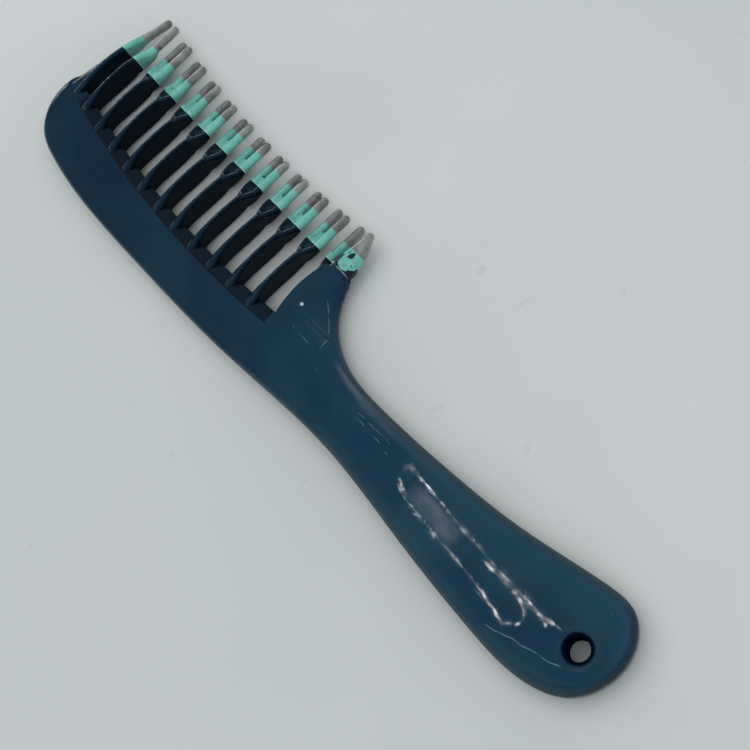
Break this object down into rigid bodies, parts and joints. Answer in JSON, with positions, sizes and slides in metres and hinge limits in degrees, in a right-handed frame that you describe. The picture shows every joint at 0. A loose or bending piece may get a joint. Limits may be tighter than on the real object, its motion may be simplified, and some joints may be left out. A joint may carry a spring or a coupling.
{
  "type": "handled double-row detangling comb",
  "caption": "One-piece grooming comb with a waisted grip, a hanging hole and a staggered double row of dip-painted round teeth.",
  "frame": {"origin": "on the axis of the hanging hole, at mid-thickness of the grip", "axes": "+X along the comb from the grip to the head, +Y towards the back of the spine so the teeth point to -Y, +Z out of the upper face along the hanging hole"},
  "size_m": [0.2106, 0.0497, 0.008],
  "materials": {
    "petrol_blue_plastic": "gloss",
    "teal_paint": "satin paint film",
    "silver_paint": "satin silver-grey paint film"
  },
  "bodies": {
    "root": {"comb_moulding": "petrol_blue_plastic", "teal_band_pair_01": "teal_paint", "teal_band_pair_02": "teal_paint", "teal_band_pair_03": "teal_paint", "teal_band_pair_04": "teal_paint", "teal_band_pair_05": "teal_paint", "teal_band_pair_06": "teal_paint", "teal_band_pair_07": "teal_paint", "teal_band_pair_08": "teal_paint", "teal_band_pair_09": "teal_paint", "teal_band_pair_10": "teal_paint", "teal_band_pair_11": "teal_paint", "teal_band_pair_12": "teal_paint", "silver_tips_pair_01": "silver_paint", "silver_tips_pair_02": "silver_paint", "silver_tips_pair_03": "silver_paint", "silver_tips_pair_04": "silver_paint", "silver_tips_pair_05": "silver_paint", "silver_tips_pair_06": "silver_paint", "silver_tips_pair_07": "silver_paint", "silver_tips_pair_08": "silver_paint", "silver_tips_pair_09": "silver_paint", "silver_tips_pair_10": "silver_paint", "silver_tips_pair_11": "silver_paint", "silver_tips_pair_12": "silver_paint"}
  },
  "joints": []
}
